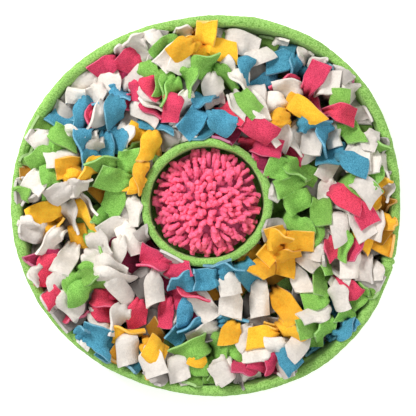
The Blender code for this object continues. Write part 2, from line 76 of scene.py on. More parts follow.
# The bunches: where each is tied, in millimetres, the directions of its two lowest strips in degrees, and the
# colours of its strips.
Bunch = namedtuple("Bunch", "x y first second colours")
BUNCH_ROWS = (
    # Next to the collar.
    (-4, 107, 150, 235, "BBB"), (42, 88, 10, 120, "WPPP"), (82, 66, 150, 20, "WWWP"),
    (104, 30, 35, 140, "GGGG"), (104, -16, 15, 165, "GGGG"), (88, -52, 165, 35, "OOOO"),
    (58, -82, 20, 130, "OBWW"), (14, -96, 60, 150, "BBWW"), (-30, -90, 60, 180, "BPWP"),
    (-66, -66, 120, 20, "PPWW"), (-96, -34, 150, 225, "WWWW"), (-105, 6, -60, 170, "WGGG"),
    (-92, 46, 30, 100, "GGG"), (-66, 78, 75, 150, "BOO"), (-34, 94, 50, 150, "WWBP"),
    # Half-way out.
    (10, 136, 160, 200, "GWWW"), (48, 132, 95, 150, "WGWGW"), (86, 104, 150, -110, "WWOOO"),
    (120, 74, 130, 30, "WWBWB"), (140, 26, 100, 200, "WWWP"), (142, -22, 120, 60, "WWGWP"),
    (124, -66, 110, -20, "WGWG"), (92, -104, -90, 195, "WWWOO"), (46, -128, -70, 75, "WWOO"),
    (-2, -134, 60, 150, "WWGG"), (-46, -126, -30, 190, "WWBPB"), (-88, -104, -40, 60, "WWPP"),
    (-118, -70, 140, 180, "GWWW"), (-138, -30, -10, 240, "WWOO"), (-140, 14, 180, 110, "WOWOW"),
    (-138, 52, 150, -60, "WOBO"), (-104, 86, -30, 165, "WPWBB"), (-72, 118, 10, 170, "WPWPP"),
    (-36, 130, -60, 0, "WGGG"),
    # Along the rim.
    (-9, 175, 235, -40, "WWOOO"), (41, 177, -130, -70, "GWWW"), (90, 155, 110, 0, "WWBBB"),
    (131, 124, 95, 190, "WWWPP"), (158, 84, 20, 80, "WWGPG"), (176, 38, 60, 160, "WWOGG"),
    (180, -12, 200, 70, "WWWOO"), (170, -62, 200, 20, "PWWWP"), (145, -108, 170, 60, "WWPBG"),
    (110, -143, -60, 180, "BWGGB"), (63, -170, -10, 100, "WWPBP"), (6, -179, -60, 20, "WWGGW"),
    (-49, -173, 20, 110, "OOGWW"), (-95, -152, 10, 170, "OBWBW"), (-134, -121, 190, -60, "WPWPW"),
    (-162, -80, -110, -10, "WGPWP"), (-177, -32, 250, 70, "WOWOW"), (-179, 19, 200, -40, "WGWGO"),
    (-168, 66, 140, 200, "WGGWG"), (-143, 111, 120, 30, "WWBBB"), (-107, 146, 160, -80, "WWPWP"),
    (-60, 170, -100, 200, "GWWWW"),
)
BUNCHES = [Bunch(*row) for row in BUNCH_ROWS]

# The strips that show, from the lowest to the ones on top of them. Each is its colour, the middle of its face
# across and down the picture, the direction of its free end in degrees from right, its visible length, how
# far it is rolled over in degrees, how far it is dished, and whether it lies over the rim.
Face = namedtuple("Face", "colour x y heading length roll cup over", defaults=(None, False))
W, G, P, B, O = (partial(Face, colour) for colour in COLOURS)
FACES = (
    # Top left.
    W(112, 55, 200, 30, 25), W(146, 46, 165, 32, 10), W(85, 80, 215, 30, 15), W(88, 98, 185, 28, 30),
    W(155, 66, 250, 26, 20), W(150, 44, 250, 30, 10), W(133, 47, 215, 30, 35), P(130, 60, 220, 28, 15),
    W(132, 76, 60, 30, 30), W(108, 84, 265, 34, 0), P(105, 66, 205, 30, 30), W(97, 92, 255, 22, 30, 0.8),
    B(62, 121, 150, 32, 25), W(74, 104, 262, 34, 5), B(88, 104, 0, 20, 45), B(78, 128, 20, 28, 50),
    B(83, 112, 268, 32, 45), W(131, 116, 230, 28, 10), P(94, 116, 250, 24, 45), W(101, 118, 240, 38, 35),
    P(133, 102, -5, 28, -55), P(134, 91, 265, 28, 55), B(118, 93, -10, 24, 50), B(115, 110, 258, 34, 20),
    G(146, 69, 300, 18, 20), O(138, 136, 165, 30, 10), B(157, 123, -14, 44, 45), W(146, 112, -25, 38, 30),
    P(152, 107, -38, 34, 58), W(155, 103, -38, 38, 62), W(153, 95, -38, 38, 55), P(153, 86, -52, 32, 10),
    G(163, 83, 262, 32, 66), G(167, 87, 266, 32, 66), G(172, 89, 256, 30, 60), W(184, 103, 255, 32, 62),
    W(177, 121, 28, 18, 60), P(172, 107, 252, 32, 20), W(72, 134, -15, 26, 45), W(40, 143, 220, 32, 5),
    G(45, 158, 225, 34, 15), G(62, 147, 0, 32, 35), G(63, 137, -38, 34, 30), W(125, 138, 262, 34, 64),
    B(117, 140, 262, 30, 25), B(105, 147, 268, 36, 15), W(88, 146, 262, 36, 52), B(84, 142, 268, 34, 64),
    W(94, 151, 252, 34, 58), B(90, 163, 238, 30, 62),
    # Left.
    W(35, 190, 210, 24, 30), W(39, 181, 240, 28, 0), G(55, 172, 200, 24, 40), W(62, 159, 178, 34, 25, 0.9),
    O(72, 167, 190, 26, 20, -0.8), O(74, 178, -15, 28, 55), O(93, 169, 228, 32, 50), G(54, 192, 255, 32, 20),
    G(25, 198, 275, 24, 60), O(43, 213, 195, 36, 0), W(32, 229, -48, 32, 30), O(52, 226, 30, 26, 45),
    W(84, 207, -50, 34, 40), O(82, 216, -45, 36, 45), O(77, 238, 285, 30, 0), W(69, 217, 282, 38, 55),
    W(62, 192, 222, 32, 15, 0.6), W(77, 187, 15, 22, 40), W(50, 242, 235, 36, 35), W(133, 190, 262, 30, 20),
    O(132, 180, 0, 26, 10), G(104, 216, 228, 28, 15), G(112, 203, 252, 36, 5), G(106, 166, 180, 26, 40),
    G(134, 151, 60, 24, 35), G(127, 163, 80, 26, 15), G(114, 180, 178, 42, 5, 0.1), O(138, 192, 262, 34, 30),
    O(142, 176, 268, 34, 48), O(150, 146, 258, 36, 35), W(132, 213, 275, 36, 40), W(112, 228, 200, 36, 10),
    G(99, 250, -50, 46, 55), W(130, 240, -52, 40, 15), W(117, 250, 250, 32, 15), W(100, 246, -60, 36, 30),
    W(92, 262, -45, 28, 25), P(48, 270, 260, 36, 15), W(40, 280, -60, 30, 55), P(66, 284, 255, 26, 45),
    W(59, 284, 262, 28, 55), W(66, 259, 250, 34, 0),
    # Bottom left.
    P(60, 303, -55, 36, 45), P(82, 318, -20, 34, 40), W(70, 302, -38, 38, 25), P(104, 292, 150, 28, 10),
    W(101, 320, -28, 34, 30), P(105, 311, -14, 32, 15), P(106, 302, -20, 36, 58), G(88, 272, -10, 26, 40),
    G(94, 285, 5, 28, 55), G(74, 285, 282, 30, 40), G(81, 291, 268, 28, 20, 0.8), G(90, 277, 20, 28, 50),
    W(112, 267, -20, 40, 50), W(113, 277, -22, 44, 40), W(120, 289, -52, 40, 15), P(150, 258, 160, 32, 10),
    P(155, 264, 175, 34, 60), P(180, 270, 15, 34, 10), W(117, 321, 242, 36, 62), P(136, 316, 258, 34, 0),
    W(153, 288, 268, 40, 0, 1.0), W(91, 342, 300, 22, 15), B(103, 343, 300, 20, 40), B(98, 336, 160, 30, 10),
    B(90, 330, 18, 30, 45), O(127, 334, 0, 36, 60), O(153, 349, -30, 30, 20), W(128, 348, 275, 32, 5, 0.7),
    W(152, 359, 290, 32, 5),
    # Bottom.
    W(172, 318, 240, 30, 40), P(178, 300, 248, 28, 25), P(164, 316, 255, 34, 15),
    B(178, 335, 230, 26, 10, -0.8), B(186, 314, 256, 30, 20), B(193, 329, 200, 28, 50),
    W(200, 334, 195, 40, 40), W(203, 308, -60, 40, 10, 0.6), P(193, 293, -40, 34, 58), B(233, 322, 8, 30, 62),
    W(231, 303, 268, 34, 0, 0.5), W(230, 282, 266, 26, 0, 0.5), B(228, 271, 5, 26, 55),
    B(182, 282, 190, 28, 35), B(205, 279, 190, 30, 0), B(249, 275, -60, 32, 5), O(153, 352, 60, 26, 20),
    G(198, 364, 280, 28, 0), O(200, 356, 240, 16, 5), G(190, 350, 200, 40, 10), G(240, 352, -20, 36, 10),
    G(219, 350, 282, 32, 35), W(221, 366, 240, 24, 15), W(256, 375, -8, 36, 35), P(246, 366, 180, 28, 45),
    P(262, 361, 160, 30, 25), P(273, 361, 262, 22, 45), W(178, 366, 280, 26, 0, 0.2, True),
    W(224, 371, 212, 22, 5, 0.1, True),
    # Bottom right.
    O(280, 334, 185, 42, 25), W(258, 350, 190, 36, 25), W(243, 337, 230, 28, 15), O(231, 334, 252, 26, 5),
    O(263, 337, 188, 36, 5), W(277, 346, 180, 26, 25), B(287, 357, 310, 28, 5), B(312, 356, 205, 36, 5),
    W(298, 343, 232, 32, 0, 0.5), O(290, 331, -30, 26, 40), O(288, 309, -52, 44, 5),
    W(260, 303, 270, 44, 0, 0.8), G(314, 335, 282, 30, 25), G(310, 325, 200, 26, 45), B(343, 331, 45, 32, 60),
    B(356, 318, 48, 32, 55), B(349, 322, 45, 40, 55), G(325, 327, 230, 28, 35), G(340, 320, 212, 32, 45),
    G(362, 297, 300, 26, 15), G(350, 303, 225, 32, 5), P(347, 290, -50, 32, 10),
    W(315, 313, 190, 36, 35, 0.5), W(338, 295, 275, 32, 25, 0.8), G(317, 300, 190, 28, 10, 0.5),
    G(323, 280, 268, 40, 25), W(304, 285, -60, 38, 0), O(263, 268, 200, 28, 15),
    # Right.
    W(342, 266, 265, 30, 5), W(374, 277, 270, 32, 35), W(362, 266, 265, 32, 15), W(350, 262, 268, 32, 10),
    G(328, 262, 270, 28, 40), W(313, 258, 220, 28, 5, 0.8), W(325, 250, 262, 36, 55),
    W(318, 243, 255, 42, 30), O(384, 230, 245, 32, 35), W(356, 243, -60, 26, 55), O(363, 238, -45, 28, 15),
    P(334, 247, 290, 26, 5), P(350, 246, 255, 28, 25), G(342, 242, 260, 34, 58), W(333, 217, 268, 40, 35),
    W(340, 227, 265, 32, 30), W(374, 224, 255, 32, 25), W(359, 222, -60, 36, 0), O(376, 199, 265, 28, 20),
    W(386, 199, 270, 32, 45), W(384, 168, -65, 36, 55), O(372, 182, -20, 28, 25), G(371, 176, 250, 28, 25),
    G(361, 186, -40, 34, 5), W(330, 190, 255, 26, 0), P(361, 213, -55, 24, 0), W(339, 203, -40, 30, 55),
    P(346, 198, -40, 34, 25), W(363, 189, -42, 34, 50), G(314, 230, 250, 24, 25), G(322, 212, 268, 30, 25),
    G(300, 222, -10, 32, 30), G(308, 173, -15, 36, 0), G(278, 168, 170, 30, 0), G(290, 185, 190, 34, 5),
    G(294, 203, 200, 40, 0, 0.4), O(300, 241, -5, 32, 0), O(272, 252, 215, 28, 5), O(287, 266, 282, 28, 0),
    O(290, 257, 0, 30, 55), O(275, 232, 130, 26, 5), O(277, 240, 0, 24, 55), W(371, 160, 250, 26, 15),
    W(357, 156, 268, 34, 0), G(372, 147, -10, 22, 58), W(330, 168, 250, 30, 5), B(333, 154, 182, 32, 30),
    B(351, 163, -36, 36, 0), W(313, 150, 270, 30, 25), P(294, 154, 250, 26, 10), G(296, 170, -40, 36, 62),
    # Top right.
    W(291, 42, -25, 32, 30), W(325, 64, 15, 30, 40), W(368, 121, 290, 36, 5), W(355, 99, 282, 34, 10),
    W(373, 142, -20, 28, 15), G(351, 131, -60, 30, 20), W(333, 83, 12, 40, 0), G(338, 104, 88, 24, 5),
    W(333, 134, 268, 32, 35), W(303, 136, -50, 36, 5), W(313, 141, 268, 34, 5), B(325, 137, 268, 36, 55),
    B(311, 124, 0, 30, 55), P(340, 114, -12, 30, 0), P(318, 107, -42, 42, 50), P(314, 78, 58, 34, 0),
    B(266, 82, 220, 32, 5), B(281, 60, 200, 32, 0), B(295, 66, 262, 32, 40), W(303, 62, 252, 32, 40),
    P(286, 84, 190, 32, 60), W(288, 91, 182, 34, 5), W(294, 138, -65, 28, 55), W(280, 137, 262, 36, 0),
    O(297, 105, 150, 26, 15), O(278, 111, 190, 30, 35), O(306, 112, -36, 42, 20), W(273, 102, 172, 32, 0),
    O(277, 125, 200, 32, 58), O(275, 118, 198, 34, 25),
    # Top.
    W(177, 34, 182, 32, 35), W(243, 42, -12, 42, 5), G(168, 50, 225, 38, 5), W(171, 57, 232, 38, 0),
    W(182, 64, 250, 30, 10), W(225, 60, -28, 36, 45), O(203, 53, 265, 20, 0), O(190, 47, 205, 28, 30),
    O(184, 49, 222, 30, 40), O(222, 49, -26, 36, 5), O(206, 34, 80, 26, 0), W(258, 54, 6, 34, 20, 0.9),
    B(241, 72, 268, 28, 60), B(247, 70, 266, 32, 58), W(256, 95, 270, 26, 10), G(205, 70, 0, 26, 10),
    G(203, 64, 15, 30, 50), G(189, 78, 268, 28, 55), W(214, 98, 275, 26, 5), W(213, 85, 272, 30, 0, 0.7),
    W(230, 70, -50, 32, 30), G(226, 76, -52, 36, 50), W(243, 82, -65, 36, 58), P(249, 150, 275, 28, 30),
    P(266, 147, -15, 30, 5), W(268, 132, -50, 38, 50), P(258, 130, -36, 46, 20), P(234, 113, -46, 32, 55),
    W(240, 106, -60, 36, 58), W(255, 106, -62, 32, 45), G(247, 103, -62, 32, 40), B(201, 99, 5, 26, 50),
    B(193, 121, 238, 34, 10), B(221, 122, -42, 36, 0),
)

SEED = 13


def wave(lobes, angle):
    """Distance that lobes stand out of their circle in a direction."""
    return sum(lobe.height * np.cos(lobe.count * (angle - radians(lobe.direction))) for lobe in lobes)


def rim_middle(angle, height):
    """Radius of the middle of the rim's padding."""
    rise = (height - BASE_THICKNESS) / (RIM_HEIGHT - BASE_THICKNESS)
    foot = MAT_RADIUS - RIM_THICKNESS / 2 - RIM_LEAN
    uneven = FOOT_SHARE + (1 - FOOT_SHARE) * rise
    return foot + RIM_LEAN * rise + wave(RIM_LOBES, angle) * uneven


def collar_middle(angle, _height=0):
    """Radius of the middle of the collar's upright padding, about the collar's own centre."""
    return COLLAR_RADIUS - COLLAR_THICKNESS / 2 + wave(COLLAR_LOBES, angle)


def directions(count):
    """Angles evenly round a circle."""
    return tau * np.arange(count) / count


def outline_centre():
    """Middle of the box round the rim, from the centre of the circle that the rim strays from."""
    angle = directions(RIM_STATIONS)
    radius = rim_middle(angle, RIM_HEIGHT - RIM_THICKNESS * ROLL_SHARE) + RIM_THICKNESS / 2 * BULGE
    x, y = radius * np.cos(angle), radius * np.sin(angle)
    return np.array(((x.min() + x.max()) / 2, (y.min() + y.max()) / 2, 0))


CENTRE = -outline_centre()
COLLAR_CENTRE = np.array((-0.0022, 0.0030, 0)) + CENTRE

# The walls: centre, side that strips keep to (in or out), middle, thickness and top.
Wall = namedtuple("Wall", "centre sign middle thickness top")
RIM_WALL = Wall(CENTRE, -1, rim_middle, RIM_THICKNESS, RIM_HEIGHT)
COLLAR_WALL = Wall(COLLAR_CENTRE, 1, collar_middle, COLLAR_THICKNESS, COLLAR_TOP)


# ---- materials


def tuned(made, values):
    """A node with its inputs or properties set by name."""
    for key, value in values.items():
        if key in made.inputs:
            made.inputs[key].default_value = value
        else:
            setattr(made, key, value)
    return made


def node(tree, kind, **values):
    return tuned(tree.nodes.new(kind), values)


def mixed(tree, factor, first, second, blend="MIX"):
    """A colour mix. Factor, first and second are sockets or values."""
    mix = node(tree, "ShaderNodeMix", data_type="RGBA", blend_type=blend)
    for socket, value in ((mix.inputs[0], factor), (mix.inputs[6], first), (mix.inputs[7], second)):
        if isinstance(value, bpy.types.NodeSocket):
            tree.links.new(value, socket)
        else:
            socket.default_value = value
    return mix.outputs[2]


def scaled(tree, value, low, high, new_low, new_high):
    """A number mapped from one range to another, clamped."""
    ends = {"From Min": low, "From Max": high, "To Min": new_low, "To Max": new_high}
    made = node(tree, "ShaderNodeMapRange", **ends)
    tree.links.new(value, made.inputs["Value"])
    return made.outputs["Result"]


def noise(tree, coords, scale, detail=2.0, roughness=0.5):
    made = node(tree, "ShaderNodeTexNoise", Scale=scale, Detail=detail, Roughness=roughness)
    tree.links.new(coords, made.inputs["Vector"])
    return made.outputs["Fac"]


def attribute(tree, name):
    return node(tree, "ShaderNodeAttribute", attribute_name=name).outputs["Fac"]


def cloth(name, colour, shade, grain, blotch, bump, sheen, tint, tones=(0.86, 1.12), deepest=-1.0):
    """Napped cloth. Its colour drifts over a few centimetres, and is flecked and deeper between fibres.

    colour is the nap's and shade the ground's below it, both linear. grain and blotch are numbers to a metre.
    The points' tone, from deepest to 1, is a brightness within tones; it holds random tone together with
    painted shade, and on the chenille painted light too. Cut edges and the sheen have the tint.
    """
    made = bpy.data.materials.new(name)
    made.use_nodes = True
    tree = made.node_tree
    link = tree.links.new
    shader = tree.nodes["Principled BSDF"]
    coords = node(tree, "ShaderNodeTexCoord").outputs["Object"]
    fleck = noise(tree, coords, grain, 3.0, 0.65)
    patch = noise(tree, coords, blotch)
    tuft = noise(tree, coords, grain * 0.33, 2.0, 0.6)
    tone = attribute(tree, "tone")
    nap = mixed(tree, scaled(tree, fleck, 0.36, 0.56, 0.0, 1.0), (*shade, 1), (*colour, 1))
    for factor in (scaled(tree, patch, 0.3, 0.7, 0.88, 1.08), scaled(tree, tuft, 0.3, 0.7, 0.92, 1.05)):
        combine = tree.nodes.new("ShaderNodeCombineColor")
        for socket in combine.inputs:
            link(factor, socket)
        nap = mixed(tree, 1.0, nap, combine.outputs["Color"], "MULTIPLY")
    bright = node(tree, "ShaderNodeHueSaturation")
    link(nap, bright.inputs["Color"])
    link(scaled(tree, tone, deepest, 1.0, *tones), bright.inputs["Value"])
    link(scaled(tree, tone, -1.0, 1.0, 0.492, 0.508), bright.inputs["Hue"])
    edge = mixed(tree, 0.45, bright.outputs["Color"], (*tint, 1))
    at_edge = scaled(tree, attribute(tree, "cut"), 0.25, 0.9, 0.0, 0.8)
    link(mixed(tree, at_edge, bright.outputs["Color"], edge), shader.inputs["Base Color"])
    height = node(tree, "ShaderNodeMath", operation="ADD")
    link(fleck, height.inputs[0])
    link(tuft, height.inputs[1])
    relief = node(tree, "ShaderNodeBump", Strength=bump, Distance=0.0012)
    link(height.outputs[0], relief.inputs["Height"])
    link(relief.outputs["Normal"], shader.inputs["Normal"])
    link(scaled(tree, fleck, 0.3, 0.7, 0.88, 1.0), shader.inputs["Roughness"])
    tuned(shader, {"Sheen Weight": sheen, "Sheen Roughness": 0.45, "Sheen Tint": (*tint, 1)})
    tuned(shader, {"Specular IOR Level": 0.18})
    return made


# The fleece's colours: nap, ground and tint.
FLEECE = {
    "W": ((0.85, 0.785, 0.715), (0.80, 0.73, 0.66), (1.0, 0.97, 0.92)),
    "G": ((0.315, 0.61, 0.125), (0.130, 0.33, 0.040), (0.75, 1.0, 0.55)),
    "P": ((0.86, 0.080, 0.18), (0.50, 0.020, 0.07), (1.0, 0.50, 0.70)),
    "B": ((0.115, 0.42, 0.58), (0.025, 0.18, 0.28), (0.55, 0.85, 1.0)),
    "O": ((1.00, 0.56, 0.050), (1.00, 0.38, 0.014), (1.0, 0.80, 0.45)),
}
# The fleece's tones reach down to -3 and a brightness of 0.18, which leaves room for the painted shade of low,
# wall and root parts.
fleece = {
    key: cloth(f"fleece_{COLOURS[key]}_nap", colour, shade, 1050, 45, 0.85, 0.12, tint, (0.18, 1.14), -3.0)
    for key, (colour, shade, tint) in FLEECE.items()
}
rim_cloth = cloth(
    "rim_green_nap", (0.37, 0.66, 0.17), (0.15, 0.35, 0.05),
    grain=640, blotch=30, bump=0.9, sheen=0.3, tint=(0.8, 1.0, 0.6),
)
# The chenille's wide tones hold painted shade at the fingers' roots and on the dome, and painted light at the
# fingers' tips.
chenille = cloth(
    "chenille_pink", (1.00, 0.18, 0.35), (0.88, 0.06, 0.17),
    grain=1100, blotch=60, bump=0.9, sheen=0.25, tint=(1.0, 0.66, 0.78), tones=(0.60, 1.45),
)


# ---- meshes


def added(name, data):
    """A new object in the scene."""
    made = bpy.data.objects.new(name, data)
    bpy.context.scene.collection.objects.link(made)
    return made


def piece(name, points, faces, finishes, numbers=None, tones=0.0, cuts=0.0, sharp=50):
    """An object that rides with the mat. tones and cuts are one number for all points or one for each."""
    mesh = bpy.data.meshes.new(name)
    mesh.from_pydata(points.tolist(), [], faces)
    for finish in finishes:
        mesh.materials.append(finish)
    if numbers is not None:
        mesh.polygons.foreach_set("material_index", np.asarray(numbers, dtype=np.int32))
    for label, values in (("tone", tones), ("cut", cuts)):
        each = np.ones(len(points), dtype=np.float32) * np.asarray(values, dtype=np.float32)
        mesh.attributes.new(label, "FLOAT", "POINT").data.foreach_set("value", each)
    mesh.validate()
    mesh.shade_smooth()
    mesh.set_sharp_from_angle(angle=radians(sharp))
    made = added(name, mesh)
    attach(made, "root")
    return made


def tube_faces(rows, ring, closed_ring=True):
    """Quads between rings of points that follow each other."""
    i = np.arange(rows - 1)[:, None]
    j = np.arange(ring if closed_ring else ring - 1)[None, :]
    after = (j + 1) % ring
    corners = (i * ring + j, i * ring + after, (i + 1) * ring + after, (i + 1) * ring + j)
    return np.stack(corners, axis=-1).reshape(-1, 4)


def turned(radius, level, angle):
    """Points of an outline turned about +Z. Each row of radius is the outline at one angle."""
    across, deep = radius * np.cos(angle)[:, None], radius * np.sin(angle)[:, None]
    return np.stack((across, deep, np.broadcast_to(level, across.shape)), axis=-1)


def turned_faces(stations, ring):
    """Faces of an outline turned right round, with both its ends closed."""
    faces = (tube_faces(stations + 1, ring, False) % (stations * ring)).tolist()
    starts = np.arange(stations) * ring
    return [*faces, starts.tolist(), (starts + ring - 1)[::-1].tolist()]


def ripple(points, size, seed, waves=10):
    """A smooth number from about -1 to 1 at each point, which changes over about size."""
    pick = np.random.default_rng(seed)
    total = np.zeros(points.shape[:-1])
    for _ in range(waves):
        way = pick.normal(size=3)
        way *= tau / size * pick.uniform(0.6, 1.5) / np.linalg.norm(way)
        total += np.sin(points @ way + pick.uniform(0, tau))
    return total / sqrt(waves)


def lumps(points, sizes, seed):
    """Lumps of a few sizes, each with its size across and its height."""
    return sum(ripple(points, size, seed + k) * height for k, (size, height) in enumerate(sizes))


def smooth_step(x):
    x = np.clip(x, 0, 1)
    return x * x * (3 - 2 * x)


def bell(x, place, width):
    """A bump of 1 at a place, which fades over a width."""
    return np.exp(-(((x - place) / width) ** 2))


def unit(vectors):
    """Vectors at a length of 1."""
    return vectors / np.maximum(np.linalg.norm(vectors, axis=-1, keepdims=True), 1e-9)


def aimed(pitch, turn):
    """Directions ahead at a pitch and a turn, and the level directions to their left."""
    ahead = np.stack((np.cos(pitch) * np.cos(turn), np.cos(pitch) * np.sin(turn), np.sin(pitch)), axis=-1)
    return ahead, np.stack((-np.sin(turn), np.cos(turn), 0 * turn), axis=-1)


# ---- padded pieces

BAND_LUMPS = ((0.060, 0.00035), (0.022, 0.00022), (0.0062, 0.00016), (0.0028, 0.00010))
LAP_RADIUS = 0.2
LAP_RIDGE = 0.0007
LAP_GROOVE = 0.0008
PUCKER = 0.00025
STATIONS_TO_PUCKER = 9.0
BASE_EDGE = ((0.90, 0), (0.965, 0), (0.992, 0.22), (1, 0.5), (0.992, 0.85), (0.975, 1), (0.90, 1))
BASE_STATIONS = 240
STITCH_SHARE = 0.88
STITCH_DEPTH = 0.0006


def rounded(profile, steps, closed):
    """Points of a smooth line through a profile's points."""
    profile = np.asarray(profile)
    count = len(profile)
    out = []
    for k in range(count if closed else count - 1):
        near = (k + n for n in (-1, 0, 1, 2))
        a, b, c, d = (profile[n % count if closed else min(max(n, 0), count - 1)] for n in near)
        for t in np.arange(steps) / steps:
            bend = 2 * b + (c - a) * t + (2 * a - 5 * b + 4 * c - d) * t**2
            out.append(0.5 * (bend + (3 * b - a - 3 * c + d) * t**3))
    if not closed:
        out.append(profile[-1])
    return np.array(out)


def standing_band(height, thickness):
    """Section of a padded band that stands on its sewn edge, as (distance from its middle, height)."""
    half = thickness / 2
    outer = (
        (half * 0.80, 0),
        (half * BULGE, height * 0.10),
        (half * 0.94, height * 0.50),
        (half * BULGE, height - thickness * ROLL_SHARE),
        (half * 0.66, height - thickness * 0.14),
    )
    inner = [(-out, level) for out, level in reversed(outer)]
    return (*outer, (0, height), *inner)


def band(name, wall, stations, seam, seed):
    """A padded wall, with puckers along its foot and a lapped seam at a direction."""
    height, thickness = wall.top - BASE_TOP, wall.thickness
    section = rounded(standing_band(height, thickness), 4, True)
    out, level = section[:, 0], section[:, 1]
    angle = directions(stations)
    share = np.clip(level / height, 0, 1)
    lap = np.abs((angle - radians(seam) + pi) % tau - pi) * LAP_RADIUS
    ridge = bell(lap, 0, 0.0016) * LAP_RIDGE - bell(lap, 0.0035, 0.0012) * LAP_GROOVE
    stands = out[None, :] * (1 + ridge[:, None] / thickness * 4)
    radius = wall.middle(angle[:, None], level[None, :] + BASE_TOP) + stands
    points = turned(radius, level + BASE_TOP, angle) + wall.centre
    swell = lumps(points, BAND_LUMPS, seed)
    pucker = np.sin(angle * stations / STATIONS_TO_PUCKER)[:, None] * PUCKER * (1 - share) ** 2
    radial = np.stack((np.cos(angle), np.sin(angle), 0 * angle), axis=-1)[:, None, :]
    outward = np.sign(out) * np.minimum(1, np.abs(out) / (thickness * 0.2))
    points = points + radial * ((swell + pucker) * outward)[..., None]
    points[..., 2] += (swell * 0.8 + ridge[:, None] * 0.5) * smooth_step((share - 0.86) / 0.14)
    ring = len(section)
    faces = tube_faces(stations + 1, ring) % (stations * ring)
    return piece(name, points.reshape(-1, 3), faces.tolist(), [rim_cloth])


def make_bands():
    rim = band("rim_band", RIM_WALL, stations=540, seam=-17, seed=5)
    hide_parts("rim_wall")
    collar = band("collar_band", COLLAR_WALL, stations=216, seam=205, seed=15)
    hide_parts("collar")


def make_base():
    """The padded disc, with a stitched line inside its edge and shallow puckers."""
    edge = rounded(BASE_EDGE, 3, False)
    inner = np.linspace(0.06, 0.86, 14)
    share = np.concatenate((inner, edge[:, 0], inner[::-1]))
    level = np.concatenate((0 * inner, edge[:, 1], 0 * inner + 1)) * BASE_THICKNESS
    level = np.clip(level, 0, BASE_THICKNESS)
    angle = directions(BASE_STATIONS)
    radius = rim_middle(angle, 0) + RIM_THICKNESS * 0.36
    points = turned(radius[:, None] * share, level, angle)
    stitch = bell(share, STITCH_SHARE, 0.012) * STITCH_DEPTH
    top = -stitch - np.abs(ripple(points, 0.05, 21) * 0.0003) * (share < 0.9)
    points[..., 2] += np.where(level > BASE_THICKNESS * 0.9, top, stitch * 0.6 * (share < 0.95))
    points = (points + CENTRE).reshape(-1, 3)
    faces = turned_faces(BASE_STATIONS, len(share))
    # Painted shade: the base is painted a little darker than the rim, as if shaded by the pile above it.
    base = piece("base_cloth", points, faces, [rim_cloth], tones=-0.4, sharp=180)
    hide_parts("base")


# ---- pile

# A strip's middle surface has ROWS from its root to its end and COLS across. Its shell has one row more, near
# the end, and a RING of points round each row: top, right edge, bottom and left edge.
ROWS = 25
COLS = 11
ALONG = np.linspace(0, 1, ROWS)
ACROSS = np.linspace(-1, 1, COLS)
END_SHARE = 0.80
SHELL_ROWS = ROWS + 1
RING = 2 * COLS + 2
THICK = 0.0029
NAP = ((0.0075, 0.00009), (0.0030, 0.00006))
# Painted shade: how much darker each strip is painted towards its root, where the pile's hollows would shade
# it.
PAINTED_ROOT_SHADE = 2.6

# The pile: its grid's cells, its floor, the height that strips hardly pass, the room between strips, where
# roots begin, and how deep under the pile a corner may be and still be lifted out.
CELL = 0.0012
FLOOR = 0.0120
LIMIT = 0.0815
CLEAR = 0.0006
ROOT = BASE_THICKNESS + 0.0010
POKE = 0.0045

# Bare places in the pile: the level they are below, the share of bare cells near them, how far apart they
# are, and how many are filled at a time.
BARE_LEVEL = FLOOR + 0.012
BARE_SHARE = 0.22
BARE_APART = 0.013
BARE_MOST = 40

# How a strip lies: the part over which a low one gathers, how far it digs in when rolled (of its width), how
# far it sags, its steepest lean, the part after its root over which it comes to rest, the percentage of a row
# that its lift clears, how far it may be out at rest, its shortest root, and the reaches it may shrink to.
GATHER = 0.40
DIG = 0.5
SAG = 0.012
STEEPEST = 0.7
SETTLE = 0.22
HELD_PERCENT = 70
AT_REST = 0.002
LEAST_ROOT = 0.008
SHRINKS = (1.0, 0.9, 0.8, 0.7, 0.6, 0.5)


def polar(x, y, centre):
    """Direction and distance of points from a centre, seen from above."""
    return np.arctan2(y - centre[1], x - centre[0]), np.hypot(x - centre[0], y - centre[1])


class Pile:
    """The top of what is laid so far, on a square grid seen from above."""

    def __init__(self):
        self.low = -MAT_RADIUS * 1.06
        self.count = int(2 * -self.low / CELL) + 1
        axis = self.low + CELL * np.arange(self.count)
        self.x, self.y = np.meshgrid(axis, axis, indexing="ij")
        self.height = np.full(self.x.shape, FLOOR)
        for wall in (RIM_WALL, COLLAR_WALL):
            angle, radius = polar(self.x, self.y, wall.centre)
            away = np.abs(radius - wall.middle(angle, wall.top)) / (wall.thickness / 2)
            self.height = np.where(away < 1, wall.top - wall.thickness * 0.4 * away**3, self.height)
        angle, radius = polar(self.x, self.y, CENTRE)
        self.inside = radius < rim_middle(angle, RIM_HEIGHT * 0.5) - RIM_THICKNESS / 2
        self.inside &= polar(self.x, self.y, COLLAR_CENTRE)[1] > COLLAR_RADIUS + 0.001

    def cells(self, places):
        return np.clip(np.rint((places - self.low) / CELL).astype(int), 1, self.count - 2)

    def under(self, points):
        """Height of the pile at points, or just beside them where it is higher."""
        i, j = self.cells(points[..., 0]), self.cells(points[..., 1])
        beside = ((0, 0), (1, 0), (-1, 0), (0, 1), (0, -1))
        return np.max([self.height[i + a, j + b] for a, b in beside], axis=0)

    def lay(self, points, top):
        """Raises the pile to a surface, sampled between its points too."""
        finer, tops = refined(points), refined(top[..., None])[..., 0]
        np.maximum.at(self.height, (self.cells(finer[..., 0]), self.cells(finer[..., 1])), tops)

    def gaps(self):
        """Bare places on the floor, the widest first."""
        found = []
        near = (self.inside & (self.height < BARE_LEVEL)).astype(float)
        for _ in range(6):
            near = blurred(near)
        for _ in range(BARE_MOST):
            at = np.unravel_index(np.argmax(near), near.shape)
            if near[at] < BARE_SHARE:
                break
            x, y = self.x[at], self.y[at]
            found.append((x, y))
            near[np.hypot(self.x - x, self.y - y) < BARE_APART] = 0
        return found


